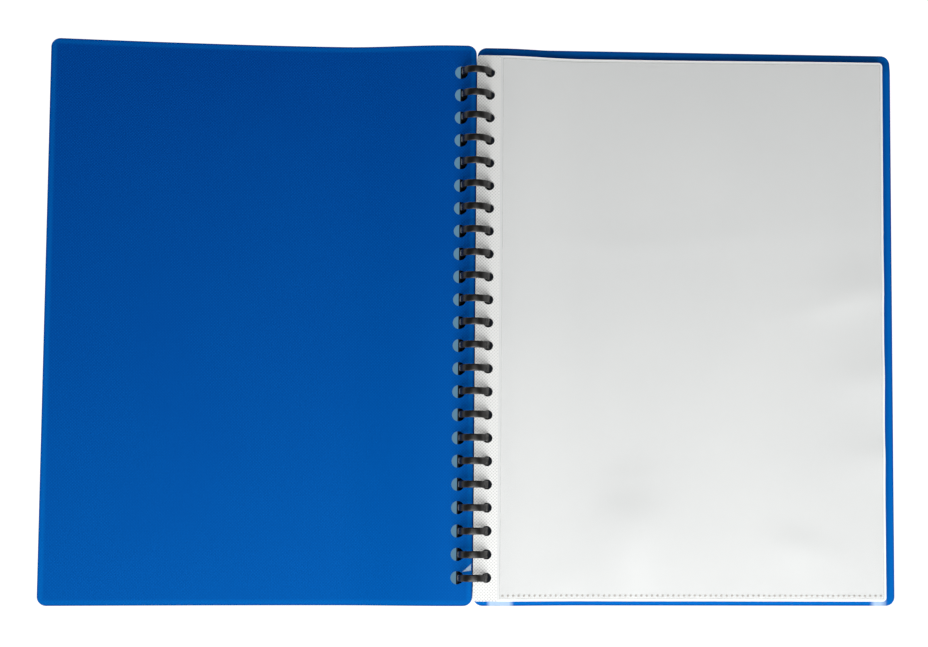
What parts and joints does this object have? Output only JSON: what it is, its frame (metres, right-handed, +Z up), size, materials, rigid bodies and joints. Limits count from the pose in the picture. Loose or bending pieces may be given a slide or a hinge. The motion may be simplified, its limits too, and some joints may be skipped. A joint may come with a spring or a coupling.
{
  "type": "display book",
  "caption": "Open refillable display book: translucent plastic covers and clear pocket leaves with paper inserts, turning on a plastic comb of curled fingers.",
  "frame": {"origin": "middle of the open book's footprint, on the surface it lies on", "axes": "+Z up, +X from the front cover towards the back cover, +Y towards the tops of the leaves, along the comb"},
  "size_m": [0.4646, 0.31, 0.0181],
  "materials": {
    "black_comb_plastic": "moulded black plastic, semi gloss",
    "blue_cover_plastic": "blue translucent sheet with a fine embossed grain",
    "white_strip_film": "white film with a fine dotted grain",
    "clear_pocket_film": "thin clear film, smooth",
    "white_paper": "plain white paper sheet"
  },
  "bodies": {
    "comb": {"comb_spine": "black_comb_plastic"},
    "fingers": {"ring_01": "black_comb_plastic", "ring_02": "black_comb_plastic", "ring_03": "black_comb_plastic", "ring_04": "black_comb_plastic", "ring_05": "black_comb_plastic", "ring_06": "black_comb_plastic", "ring_07": "black_comb_plastic", "ring_08": "black_comb_plastic", "ring_09": "black_comb_plastic", "ring_10": "black_comb_plastic", "ring_11": "black_comb_plastic", "ring_12": "black_comb_plastic", "ring_13": "black_comb_plastic", "ring_14": "black_comb_plastic", "ring_15": "black_comb_plastic", "ring_16": "black_comb_plastic", "ring_17": "black_comb_plastic", "ring_18": "black_comb_plastic", "ring_19": "black_comb_plastic", "ring_20": "black_comb_plastic", "ring_21": "black_comb_plastic", "ring_22": "black_comb_plastic", "ring_23": "black_comb_plastic"},
    "front_cover": {"front_cover": "blue_cover_plastic"},
    "back_cover": {"back_cover": "blue_cover_plastic"},
    "leaf_01": {"leaf_01_strip": "white_strip_film", "leaf_01_pocket": "clear_pocket_film", "leaf_01_insert": "white_paper"},
    "leaf_02": {"leaf_02_strip": "white_strip_film", "leaf_02_pocket": "clear_pocket_film", "leaf_02_insert": "white_paper"},
    "leaf_03": {"leaf_03_strip": "white_strip_film", "leaf_03_pocket": "clear_pocket_film", "leaf_03_insert": "white_paper"},
    "leaf_04": {"leaf_04_strip": "white_strip_film", "leaf_04_pocket": "clear_pocket_film", "leaf_04_insert": "white_paper"},
    "leaf_05": {"leaf_05_strip": "white_strip_film", "leaf_05_pocket": "clear_pocket_film", "leaf_05_insert": "white_paper"},
    "leaf_06": {"leaf_06_strip": "white_strip_film", "leaf_06_pocket": "clear_pocket_film", "leaf_06_insert": "white_paper"},
    "leaf_07": {"leaf_07_strip": "white_strip_film", "leaf_07_pocket": "clear_pocket_film", "leaf_07_insert": "white_paper"},
    "leaf_08": {"leaf_08_strip": "white_strip_film", "leaf_08_pocket": "clear_pocket_film", "leaf_08_insert": "white_paper"},
    "leaf_09": {"leaf_09_strip": "white_strip_film", "leaf_09_pocket": "clear_pocket_film", "leaf_09_insert": "white_paper"},
    "leaf_10": {"leaf_10_strip": "white_strip_film", "leaf_10_pocket": "clear_pocket_film", "leaf_10_insert": "white_paper"}
  },
  "joints": [
    {"name": "fingers_open", "type": "hinge", "parent": "comb", "child": "fingers", "pos_m": [0.00681, 0, 0.00528], "axis": [0, 1, 0], "range_deg": [0, 5], "stiffness_Nm_per_rad": 0.05},
    {"name": "front_cover_turn", "type": "hinge", "parent": "comb", "child": "front_cover", "pos_m": [-0.00065, 0, 0.00915], "axis": [0, 1, 0], "range_deg": [0, 180]},
    {"name": "back_cover_turn", "type": "hinge", "parent": "comb", "child": "back_cover", "pos_m": [-0.00065, 0, 0.00915], "axis": [0, -1, 0], "range_deg": [0, 180]},
    {"name": "leaf_01_turn", "type": "hinge", "parent": "back_cover", "child": "leaf_01", "pos_m": [-0.00065, 0, 0.00915], "axis": [0, -1, 0], "range_deg": [0, 180]},
    {"name": "leaf_02_turn", "type": "hinge", "parent": "leaf_01", "child": "leaf_02", "pos_m": [-0.00065, 0, 0.00915], "axis": [0, -1, 0], "range_deg": [0, 180]},
    {"name": "leaf_03_turn", "type": "hinge", "parent": "leaf_02", "child": "leaf_03", "pos_m": [-0.00065, 0, 0.00915], "axis": [0, -1, 0], "range_deg": [0, 180]},
    {"name": "leaf_04_turn", "type": "hinge", "parent": "leaf_03", "child": "leaf_04", "pos_m": [-0.00065, 0, 0.00915], "axis": [0, -1, 0], "range_deg": [0, 180]},
    {"name": "leaf_05_turn", "type": "hinge", "parent": "leaf_04", "child": "leaf_05", "pos_m": [-0.00065, 0, 0.00915], "axis": [0, -1, 0], "range_deg": [0, 180]},
    {"name": "leaf_06_turn", "type": "hinge", "parent": "leaf_05", "child": "leaf_06", "pos_m": [-0.00065, 0, 0.00915], "axis": [0, -1, 0], "range_deg": [0, 180]},
    {"name": "leaf_07_turn", "type": "hinge", "parent": "leaf_06", "child": "leaf_07", "pos_m": [-0.00065, 0, 0.00915], "axis": [0, -1, 0], "range_deg": [0, 180]},
    {"name": "leaf_08_turn", "type": "hinge", "parent": "leaf_07", "child": "leaf_08", "pos_m": [-0.00065, 0, 0.00915], "axis": [0, -1, 0], "range_deg": [0, 180]},
    {"name": "leaf_09_turn", "type": "hinge", "parent": "leaf_08", "child": "leaf_09", "pos_m": [-0.00065, 0, 0.00915], "axis": [0, -1, 0], "range_deg": [0, 180]},
    {"name": "leaf_10_turn", "type": "hinge", "parent": "leaf_09", "child": "leaf_10", "pos_m": [-0.00065, 0, 0.00915], "axis": [0, -1, 0], "range_deg": [0, 180]}
  ]
}
